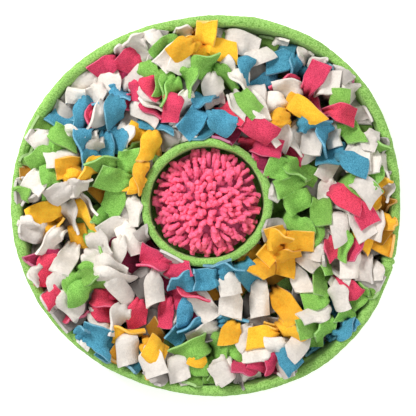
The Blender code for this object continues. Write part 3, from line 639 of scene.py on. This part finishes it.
def refined(grid):
    """A grid of points with three times as many points each way."""
    rows, cols = grid.shape[:2]
    at_row, at_col = np.linspace(0, rows - 1, rows * 3 - 2), np.linspace(0, cols - 1, cols * 3 - 2)
    r, c = np.minimum(at_row.astype(int), rows - 2), np.minimum(at_col.astype(int), cols - 2)
    u, v = (at_row - r)[:, None, None], (at_col - c)[None, :, None]
    near = grid[r][:, c] * (1 - v) + grid[r][:, c + 1] * v
    far = grid[r + 1][:, c] * (1 - v) + grid[r + 1][:, c + 1] * v
    return near * (1 - u) + far * u


def inside_walls(points):
    """Points of a strip pushed in from the rim and out from the collar, keeping their height."""
    out = points.copy()
    for wall in (RIM_WALL, COLLAR_WALL):
        angle, radius = polar(out[..., 0], out[..., 1], wall.centre)
        near_top = (out[..., 2] - wall.top + wall.thickness * 0.8) / (wall.thickness * 0.7)
        shoulder = 0.56 - 0.62 * smooth_step(near_top)
        middle = wall.middle(angle, np.clip(out[..., 2], BASE_THICKNESS, RIM_HEIGHT))
        edge = middle + wall.sign * (wall.thickness * shoulder + THICK * 0.6)
        kept = np.minimum(radius, edge) if wall.sign < 0 else np.maximum(radius, edge)
        out[..., 0] = wall.centre[0] + kept * np.cos(angle)
        out[..., 1] = wall.centre[1] + kept * np.sin(angle)
    return out


def strayed(points):
    """How far the furthest point of a strip is past the rim or the collar."""
    return float(np.linalg.norm((inside_walls(points) - points)[..., :2], axis=-1).max())


def evened(field, times=1):
    """A field evened out from row to row."""
    for _ in range(times):
        wide = np.pad(field, ((1, 1), (0, 0)), mode="edge")
        field = (wide[:-2] + 2 * wide[1:-1] + wide[2:]) / 4
    return field


def blurred(field):
    """A field evened out both ways."""
    return evened(evened(field).T).T


# ---- strips


def low_style(pick):
    """Shape and tone of a strip that lies low in the pile, in metres and radians.

    root is the part that rises out of the pile, and length the rest. The pitch goes from rise to fall, over
    the share ease if folded and else by the power ease, and curl turns the end. cup, tube and flare dish the
    middle, the root and the end. pinch draws the root in over the share drawn. lap is how far the strip may
    cross a wall. stiff evens it out.
    """
    return SimpleNamespace(
        width=STRIP_WIDTH * pick.uniform(0.90, 1.10),
        length=pick.uniform(0.042, 0.052),
        root=pick.uniform(0.010, 0.017),
        rise=radians(pick.uniform(14, 38)),
        fall=radians(pick.uniform(-40, -10)),
        ease=pick.uniform(0.7, 1.3),
        bend=radians(pick.uniform(-40, 40)),
        roll=radians(pick.choice((0, 10, -10, 22, -22, 36, -36, 50, -50))),
        cup=pick.choice((0.05, 0.12, 0.2, 0.3, 0.45, 0.9, -0.15, -0.3)),
        folded=False,
        curl=0.0,
        lap=0.005,
        pinch=0.0,
        drawn=pick.uniform(0.30, 0.50),
        tube=pick.uniform(1.7, 2.4),
        flare=pick.uniform(-0.15, 0.15),
        crease=pick.choice((0, 0, 0.0012, -0.0012)),
        crease_at=pick.uniform(-0.5, 0.5),
        frill=pick.uniform(0.0001, 0.0007),
        waves=pick.uniform(0.6, 1.6),
        phase=pick.random(),
        skew=pick.uniform(-0.0025, 0.0025),
        stiff=pick.choice((10, 14, 20)),
        tone=pick.uniform(-0.1, 1.0),
    )


def wall_style(pick):
    """Style of a strip that leans on a wall."""
    style = low_style(pick)
    vars(style).update(
        # Painted shade: a strip that leans on a wall is painted darker, as if in the shade beside the wall.
        tone=pick.uniform(-2.4, 0.0),
        root=pick.uniform(0.030, 0.043),
        rise=radians(pick.uniform(40, 70)),
        fall=radians(pick.uniform(-14, 14)),
        roll=radians(pick.choice((0, 15, -15, 35, -35, 55, -55))),
        ease=0.35,
        length=pick.uniform(0.036, 0.046),
        pinch=0.3,
        lap=0.013,
        folded=True,
    )
    return style


def face_style(pick, face, side, reach, level):
    """Style of a strip that shows. It is rolled over to a side, reaches so far, and lies at a level."""
    style = low_style(pick)
    vars(style).update(
        roll=radians(min(76, face.roll * 1.35 + pick.uniform(4, 20))) * side,
        length=reach * 0.84,
        root=max(0.010, level + 0.002),
        rise=radians(pick.uniform(66, 80)),
        fall=radians(pick.uniform(-26, 8)),
        ease=0.22,
        bend=radians(pick.uniform(-30, 30)),
        curl=radians(pick.uniform(-50, 30)),
        cup=pick.uniform(-0.6, 0.8) if face.cup is None else face.cup,
        width=STRIP_WIDTH * pick.uniform(0.76, 0.98),
        pinch=pick.choice((0.10, 0.25, 0.38, 0.48, 0.58)),
        folded=True,
    )
    if face.over:
        vars(style).update(roll=0.0, pinch=0.1, rise=radians(55), curl=radians(-20), bend=0.0)
    return style


def strip_shape(root, heading, style, shrink):
    """Middle surface of a strip before it is laid on the pile, which reaches less far where it shrinks."""
    begin = style.root / (style.length + style.root)
    t = np.clip((ALONG - begin) / (1 - begin), 0, 1)
    eased = smooth_step(t / style.ease) if style.folded else t**style.ease
    pitch = style.rise + (style.fall - style.rise) * eased + style.curl * t**2
    pitch = np.where(ALONG < begin, radians(84), pitch)
    turn = heading + style.bend * (t - 0.25)
    step = (style.length + style.root) / (ROWS - 1)
    ahead, side = aimed(pitch, turn)
    ahead[:, :2] *= shrink
    path = root + np.concatenate((np.zeros((1, 3)), np.cumsum((ahead[1:] + ahead[:-1]) / 2 * step, axis=0)))
    along = unit(ahead)
    up = np.cross(along, side)
    roll = (style.roll * smooth_step(t / 0.7))[:, None]
    side, up = side * np.cos(roll) + up * np.sin(roll), up * np.cos(roll) - side * np.sin(roll)
    gathered = 0 * t if style.folded else 1 - smooth_step(t / GATHER)
    dish = style.cup + (style.tube - style.cup) * gathered + style.flare * t**2
    dish = np.where(np.abs(dish) < 0.05, 0.05, dish)
    arc = dish[:, None] * ACROSS
    radius = (style.width / 2 / dish)[:, None]
    pinched = style.pinch * (1 - smooth_step(t / style.drawn))[:, None]
    aside = np.sin(arc) * radius * (1 - pinched)
    lift = -(1 - np.cos(arc)) * radius
    lift = lift - lift.mean(axis=1, keepdims=True)
    t = t[:, None]
    crease = style.crease * bell(ACROSS, style.crease_at, 0.22) * smooth_step(t * 1.6)
    frill = style.frill * ACROSS**2 * np.sin(tau * (t * style.waves + style.phase) + ACROSS)
    pleats = pinched * 0.0036 * np.cos(pi * (1.7 * ACROSS + style.phase * 2))
    lift = lift + crease + frill + pleats
    points = path[:, None, :] + side[:, None, :] * aside[..., None] + up[:, None, :] * lift[..., None]
    return points + along[:, None, :] * (style.skew * ACROSS * t)[..., None]


def laid(pile, points, style):
    """Lets a strip down on the pile, as a stiff cloth that leans and bends but hardly dishes.

    Also gives how far it was raised, and how far the room below LIMIT falls short.
    """
    s = ALONG[:, None]
    begin = style.root / (style.length + style.root)
    rests = smooth_step((s - begin) / (SETTLE * (1 - begin)))
    across = ACROSS * style.width / 2
    rolled = abs(sin(style.roll))
    lower = np.clip(-across / style.width * 2 * np.sign(style.roll), 0, 1)
    dig = lower * rolled * style.width * DIG
    need = pile.under(points) + THICK / 2 + CLEAR - dig - points[..., 2]
    half = COLS // 2
    lean = (need[:, half + 1 :].max(axis=1) - need[:, :half].max(axis=1)) / style.width
    lean = np.clip(lean, -STEEPEST, STEEPEST)[:, None] * rests * (1 - rolled) ** 2
    plane = evened(lean, 6) * across
    lift = np.percentile(need - plane, HELD_PERCENT, axis=1, keepdims=True)
    lift = np.maximum(lift, -SAG * smooth_step((s - begin) / (1 - begin)))
    lift = lift * rests - (1 - rests) * 0.002
    for _ in range(style.stiff):
        lift = np.maximum(lift, evened(lift))
    room = LIMIT - (points[..., 2] + plane).max(axis=1, keepdims=True)
    short = max(0.0, float((lift - room).max()))
    raised = float(np.median(lift[s > begin]))
    lift = evened(np.minimum(lift, room), 2)
    bump = blurred(np.maximum(need - lift - plane, 0) * rests)
    points = points.copy()
    points[..., 2] += lift + plane + blurred(np.minimum(bump, 0.005))
    poke = (pile.under(points) + THICK / 2 + CLEAR / 2 - dig - points[..., 2]) * (rests > 0.95)
    poke = np.where(poke < POKE, np.maximum(poke, 0), 0)
    points[..., 2] += np.maximum(poke, blurred(poke))
    over = points[..., 2] - LIMIT
    points[..., 2] = np.where(over > 0, LIMIT + over * 0.3, points[..., 2])
    return points, raised, short


def place_strip(pile, root, heading, style, over=False):
    """Fits a strip between the walls by curling it up, lays it, and gives its middle surface."""
    for shrink in SHRINKS:
        if over or strayed(strip_shape(root, heading, style, shrink)) < style.lap:
            break
    for _ in range(4 if style.folded else 1):
        points = strip_shape(root, heading, style, shrink)
        if not over:
            kept = inside_walls(points)
            kept[..., 2] += 0.6 * np.linalg.norm(kept - points, axis=-1)
            points = kept
        points, raised, short = laid(pile, points, style)
        if short > AT_REST:
            style.roll *= 0.7
        style.root = max(LEAST_ROOT, style.root + raised - short)
        if abs(raised) < AT_REST and short < AT_REST:
            break
    pile.lay(points, points[..., 2] + THICK / 2)
    return points


def strip_shell(middle, seed):
    """Points of the closed shell round a strip's middle surface."""
    near_end = middle[-2:-1] * (1 - END_SHARE) + middle[-1:] * END_SHARE
    middle = np.concatenate((middle[:-1], near_end, middle[-1:]))
    across = np.gradient(middle, axis=1)
    normal = unit(np.cross(np.gradient(middle, axis=0), across))
    nap = lumps(middle, NAP, seed)
    top = middle + normal * (THICK / 2 + nap)[..., None]
    low = middle - normal * (THICK / 2 - nap * 0.6)[..., None]
    out = unit(across) * THICK * 0.2
    rings = (top, middle[:, -1:] + out[:, -1:], low[:, ::-1], middle[:, :1] - out[:, :1])
    return np.concatenate(rings, axis=1).reshape(-1, 3)


def shell_faces():
    """Faces of a strip's shell."""
    faces = tube_faces(SHELL_ROWS, RING).tolist()
    caps = [(j, j + 1, 2 * COLS - j - 1, 2 * COLS - j) for j in range(COLS - 1)]
    caps += [(COLS - 1, COLS, COLS + 1), (2 * COLS, 2 * COLS + 1, 0)]
    last = (SHELL_ROWS - 1) * RING
    faces += [list(cap[::-1]) for cap in caps]
    return faces + [[last + corner for corner in cap] for cap in caps]


def shell_cut():
    """1 at the points of a strip's shell that are on its cut edge, 0 at the others."""
    cut = np.zeros((SHELL_ROWS, RING))
    cut[:, (COLS, RING - 1)] = 1
    cut[-1] = 1
    return cut.reshape(-1)


# ---- fleece

# The picture's scale and the place of the rim's centre in it, and the length that a fold hides.
PX = 0.001104
ORIGIN_PX = (208.5, 205.3)
FOLD = 0.004

# The strips of a stack: how near they are in pixels, and how alike in degrees, and the least roll of each.
STACK_REACH = 20
STACK_TURN = 40
STACK_ROLL = 25

# The strips that lean on each wall: their number, how far off they are rooted, and which way they turn.
WALL_STRIPS = ((RIM_WALL, 72, -0.036, 0), (COLLAR_WALL, 22, 0.030, 180))


def wall_places(pick):
    """Root and heading of each strip that leans on the rim or on the collar."""
    for wall, count, back, outward in WALL_STRIPS:
        for k in range(count):
            angle = tau * (k + pick.uniform(-0.3, 0.3)) / count
            away = wall.middle(angle, RIM_HEIGHT) + back + pick.uniform(-0.004, 0.004)
            root = np.array((away * cos(angle), away * sin(angle), ROOT)) + wall.centre
            yield root, degrees(angle) + outward + pick.uniform(-40, 40)


def stack_side(index):
    """Sign of a strip's roll, which raises its side away from the strips that are stacked on it."""
    face = FACES[index]
    way = radians(face.heading)
    aside = 0.0
    for other, later in enumerate(FACES):
        dx, dy = later.x - face.x, face.y - later.y
        turn = abs((later.heading - face.heading + 180) % 360 - 180)
        apart = other == index or hypot(dx, dy) > STACK_REACH or turn > STACK_TURN
        if apart or abs(later.roll) < STACK_ROLL:
            continue
        across = -sin(way) * dx + cos(way) * dy
        aside += across if other > index else -across
    if aside == 0:
        return 1 if (face.x * 7 + face.y * 13) % 2 else -1
    return -1 if aside > 0 else 1


def lay_fleece():
    """Lays all the strips, low ones first, and gives each bunch's list of (colour, style, middle surface)."""
    pick = random.Random(SEED)
    pile = Pile()
    strips = [[] for _ in BUNCHES]
    roots = [np.array((bunch.x / 1000, bunch.y / 1000, ROOT)) + CENTRE for bunch in BUNCHES]

    def nearest(place):
        return int(np.argmin([hypot(*(root - place)[:2]) for root in roots]))

    def any_colour(number):
        return pick.choice(BUNCHES[number].colours + "W")

    def add(number, colour, heading, style, root):
        at = root + np.array((pick.uniform(-2, 2), pick.uniform(-2, 2), 0)) / 1000
        strips[number].append((colour, style, place_strip(pile, at, radians(heading), style)))

    def add_low(number, colour, heading, root):
        style = low_style(pick)
        # Painted shade: a strip low in the pile is painted darker, as if it lay in the pile's hollows.
        style.tone = pick.uniform(-3.0, -1.4)
        add(number, colour, heading, style, root)

    for turn in range(2):
        for number, bunch in enumerate(BUNCHES):
            add_low(number, bunch.colours[turn], (bunch.first, bunch.second)[turn], roots[number])
    for _ in range(2):
        for x, y in pile.gaps():
            bare = np.array((x, y, ROOT))
            number = nearest(bare)
            heading = degrees(atan2(y - roots[number][1], x - roots[number][0]))
            add_low(number, any_colour(number), heading, (bare + roots[number]) / 2)
    for root, heading in wall_places(pick):
        number = nearest(root)
        colour = any_colour(number)
        add(number, colour, heading, wall_style(pick), root)
    for index, face in enumerate(FACES):
        way = radians(face.heading)
        ahead = np.array((cos(way), sin(way), 0))
        middle = np.array(((face.x - ORIGIN_PX[0]) * PX, (ORIGIN_PX[1] - face.y) * PX, ROOT)) + CENTRE
        reach = face.length * PX + FOLD
        root = middle - ahead * (reach / 2 - PX)
        level = float(pile.under(root)) - ROOT
        style = face_style(pick, face, stack_side(index), reach, level)
        points = place_strip(pile, root, way, style, face.over)
        strips[nearest(root)].append((face.colour, style, points))
    return strips


def make_fleece():
    quads, cut = shell_faces(), shell_cut()
    # Painted shade that darkens each strip's tone towards its root.
    painted_root_shade = PAINTED_ROOT_SHADE * (1 - smooth_step((np.linspace(0, 1, SHELL_ROWS) - 0.14) / 0.34))
    for number, strips in enumerate(lay_fleece()):
        colours = sorted({colour for colour, _, _ in strips})
        points, faces, numbers, tones, total = [], [], [], [], 0.0
        for index, (colour, style, middle) in enumerate(strips):
            points.append(strip_shell(middle, number * 31 + index))
            faces += [[index * len(cut) + corner for corner in face] for face in quads]
            numbers += [colours.index(colour)] * len(quads)
            tones.append(np.repeat(style.tone - painted_root_shade, RING))
            total += style.length + style.root
        made = piece(
            f"fleece_{number + 1:02d}",
            np.concatenate(points),
            faces,
            [fleece[colour] for colour in colours],
            numbers,
            np.concatenate(tones),
            np.tile(cut, len(strips)),
        )
        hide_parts(f"bunch_{number + 1:02d}")


# ---- chenille pad

FINGERS = 240
FINGER_RADIUS = 0.0026
FINGER_ROWS = 12
FINGER_SIDES = 8
GOLDEN_ANGLE = pi * (3 - sqrt(5))
DOME_TOP = 0.0490
DOME_EDGE = 0.0350
DOME_RADIUS = PAD_RADIUS * 1.10
DOME_STATIONS = 72
# Painted shade: the dome below the fingers, and its skirt out to the collar, is painted darker than the yarn.
DOME_PAINTED_SHADE = -1.0


def dome_height(radius):
    """Height that the fingers come out of the dome at."""
    share = np.clip(radius / PAD_RADIUS, 0, 1)
    return DOME_TOP - 0.004 - (DOME_TOP - DOME_EDGE) * share**2.4


def finger(pick, index):
    """Points and tones of a finger of yarn. The first fingers are in the middle of the pad."""
    share = sqrt((index + 0.5) / FINGERS)
    away = share * PAD_RADIUS * 0.93
    way = index * GOLDEN_ANGLE + pick.uniform(-0.12, 0.12)
    root = np.array((away * cos(way), away * sin(way), float(dome_height(away)) - 0.003))
    heading = way + pick.uniform(-1, 1) * (2.4 - 2.0 * share)
    length = pick.uniform(0.009, 0.014) + 0.007 * share
    start = radians(pick.uniform(62, 88) - 56 * share**1.5)
    end = radians(pick.uniform(0, 66) * (1 - share**2) - 34 * share**2)
    s = np.linspace(0, 1, FINGER_ROWS)
    pitch = start + (end - start) * s
    turn = heading + pick.uniform(-0.6, 0.6) * s
    ahead, side = aimed(pitch, turn)
    path = root + np.cumsum(ahead, axis=0) * length / FINGER_ROWS
    limit = COLLAR_RADIUS - COLLAR_THICKNESS - FINGER_RADIUS * 1.1
    path[:, :2] *= np.minimum(1, limit / np.hypot(path[:, 0], path[:, 1]))[:, None]
    up = np.cross(ahead, side)
    tufts = 1 + 0.16 * np.sin(s * pick.uniform(17, 24) + pick.uniform(0, 6)) + 0.06 * np.sin(s * 41 + index)
    tip = np.sqrt(np.clip(1 - ((s - 0.80) / 0.20).clip(0, 1) ** 2.2, 0.02, 1))
    thick = FINGER_RADIUS * pick.uniform(0.88, 1.14) * tufts * tip
    around = directions(FINGER_SIDES)
    rough = np.array([[pick.uniform(0.90, 1.10) for _ in around] for _ in s])
    aside = side[:, None, :] * (np.cos(around)[None, :] * thick[:, None] * rough)[..., None]
    lift = up[:, None, :] * (np.sin(around)[None, :] * thick[:, None] * rough)[..., None]
    # Painted shade and light: each finger is painted darker at its root and lighter at its tip, and fingers
    # near the middle of the pad lighter; the random part is the yarn's own tone.
    tint = pick.uniform(0.0, 0.6) + 0.35 * (1 - share)
    tones = tint + 1.5 * (np.arange(FINGER_ROWS) / FINGER_ROWS) - 0.75
    return (path[:, None, :] + aside + lift).reshape(-1, 3), np.repeat(tones, FINGER_SIDES)


def make_chenille():
    """A dome of cloth with fingers of chenille yarn that lie outward over each other."""
    pick = random.Random(SEED + 1)
    radius = np.linspace(0.02, 1, 16) * DOME_RADIUS
    outline = np.concatenate((radius, (DOME_RADIUS, PAD_RADIUS, 0.02 * PAD_RADIUS)))
    level = np.concatenate((dome_height(radius) - 0.002, (PAD_EDGE * 0.5, BASE_TOP, BASE_TOP)))
    ring = len(outline)
    points = [turned(outline[None, :], level, directions(DOME_STATIONS)).reshape(-1, 3)]
    faces = turned_faces(DOME_STATIONS, ring)
    # The dome is painted dark, as shade between the fingers.
    tones = [np.full(DOME_STATIONS * ring, DOME_PAINTED_SHADE)]
    base = DOME_STATIONS * ring
    first = np.arange(FINGER_SIDES)
    last = first + (FINGER_ROWS - 1) * FINGER_SIDES
    yarn = [*tube_faces(FINGER_ROWS, FINGER_SIDES), first[::-1], last]
    for index in reversed(range(FINGERS)):
        made, tone = finger(pick, index)
        points.append(made)
        tones.append(tone)
        faces += [(face + base).tolist() for face in yarn]
        base += len(made)
    placed = np.concatenate(points) + COLLAR_CENTRE
    made = piece("chenille_pad", placed, faces, [chenille], tones=np.concatenate(tones))
    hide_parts("noodle_pad")


# ---- stage

# Half of the mat's width in metres and in pixels, half of the picture's, and the level of that scale.
HALF_MAT = 0.2156
HALF_MAT_PX = 195
HALF_PICTURE_PX = 208
SEEN_LEVEL = 0.056
SENSOR = 36
CAMERA_DISTANCE = 1.25
CAMERA_ABOVE = (0.0023, -0.0024)
FLOOR_HALF = 3.0

# The lights' names, places, sizes and energies.
LIGHTS = (("key", (-0.80, 0.80, 1.05), 0.45, 20.0), ("fill", (0.9, -0.5, 1.3), 1.4, 8.0))


def make_floor():
    mesh = bpy.data.meshes.new("floor")
    corners = [(x * FLOOR_HALF, y * FLOOR_HALF, 0) for x, y in ((-1, -1), (1, -1), (1, 1), (-1, 1))]
    mesh.from_pydata(corners, [], [(0, 1, 2, 3)])
    paper = bpy.data.materials.new("studio_paper")
    paper.use_nodes = True
    tree = paper.node_tree
    shader = tree.nodes["Principled BSDF"]
    grain = noise(tree, node(tree, "ShaderNodeTexCoord").outputs["Object"], 300)
    white = mixed(tree, grain, (0.93, 0.93, 0.93, 1), (0.95, 0.95, 0.95, 1))
    tree.links.new(white, shader.inputs["Base Color"])
    tuned(shader, {"Roughness": 0.9, "Emission Color": (1, 1, 1, 1), "Emission Strength": 0.40})
    mesh.materials.append(paper)
    added("floor", mesh)


def make_stage():
    make_floor()
    scene = bpy.context.scene
    world = bpy.data.worlds.new("studio")
    world.use_nodes = True
    tuned(world.node_tree.nodes["Background"], {"Color": (1.0, 1.0, 1.0, 1), "Strength": 0.56})
    scene.world = world
    for name, place, size, energy in LIGHTS:
        light = bpy.data.lights.new(name, "AREA")
        light.size = size
        light.energy = energy
        lamp = added(name, light)
        lamp.location = place
        lamp.rotation_euler = (-Vector(place)).to_track_quat("-Z", "Y").to_euler()
    camera_data = bpy.data.cameras.new("camera")
    camera_data.sensor_width = SENSOR
    half_view = HALF_MAT * HALF_PICTURE_PX / HALF_MAT_PX
    camera_data.lens = SENSOR / 2 * CAMERA_DISTANCE / half_view
    camera = added("camera", camera_data)
    camera.location = (*CAMERA_ABOVE, CAMERA_DISTANCE + SEEN_LEVEL)
    scene.camera = camera
    scene.view_settings.view_transform = "Standard"


make_stage()
make_base()
make_bands()
make_chenille()
make_fleece()
